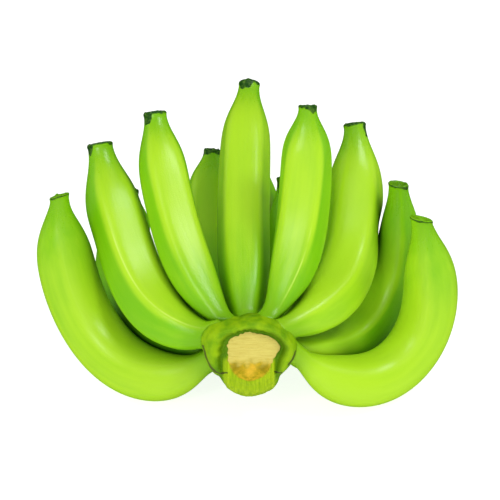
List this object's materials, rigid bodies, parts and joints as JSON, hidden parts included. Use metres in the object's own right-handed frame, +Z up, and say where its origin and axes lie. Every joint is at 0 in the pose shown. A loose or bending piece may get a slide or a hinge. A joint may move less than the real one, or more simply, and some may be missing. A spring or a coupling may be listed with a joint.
{
  "type": "banana hand",
  "caption": "Hand of green unripe bananas: curved five-sided fingers in two rows, grown out of one cut crown, lying tips up.",
  "frame": {"origin": "middle of the bounding box, at the surface the hand rests on", "axes": "+X to the right across the hand, the longest extent; +Y from the crown's cut towards the fingers; +Z up, the way the flower ends point"},
  "size_m": [0.2751, 0.2019, 0.1937],
  "materials": {
    "peel": "smooth satin peel",
    "crown": "satin peel round a dull fibrous cut"
  },
  "bodies": {
    "root": {"crown": "crown", "finger_outer_1": "peel", "finger_outer_2": "peel", "finger_outer_3": "peel", "finger_outer_4": "peel", "finger_outer_5": "peel", "finger_outer_6": "peel", "finger_outer_7": "peel", "finger_inner_1": "peel", "finger_inner_2": "peel", "finger_inner_3": "peel", "finger_inner_4": "peel", "finger_inner_5": "peel"}
  },
  "joints": []
}
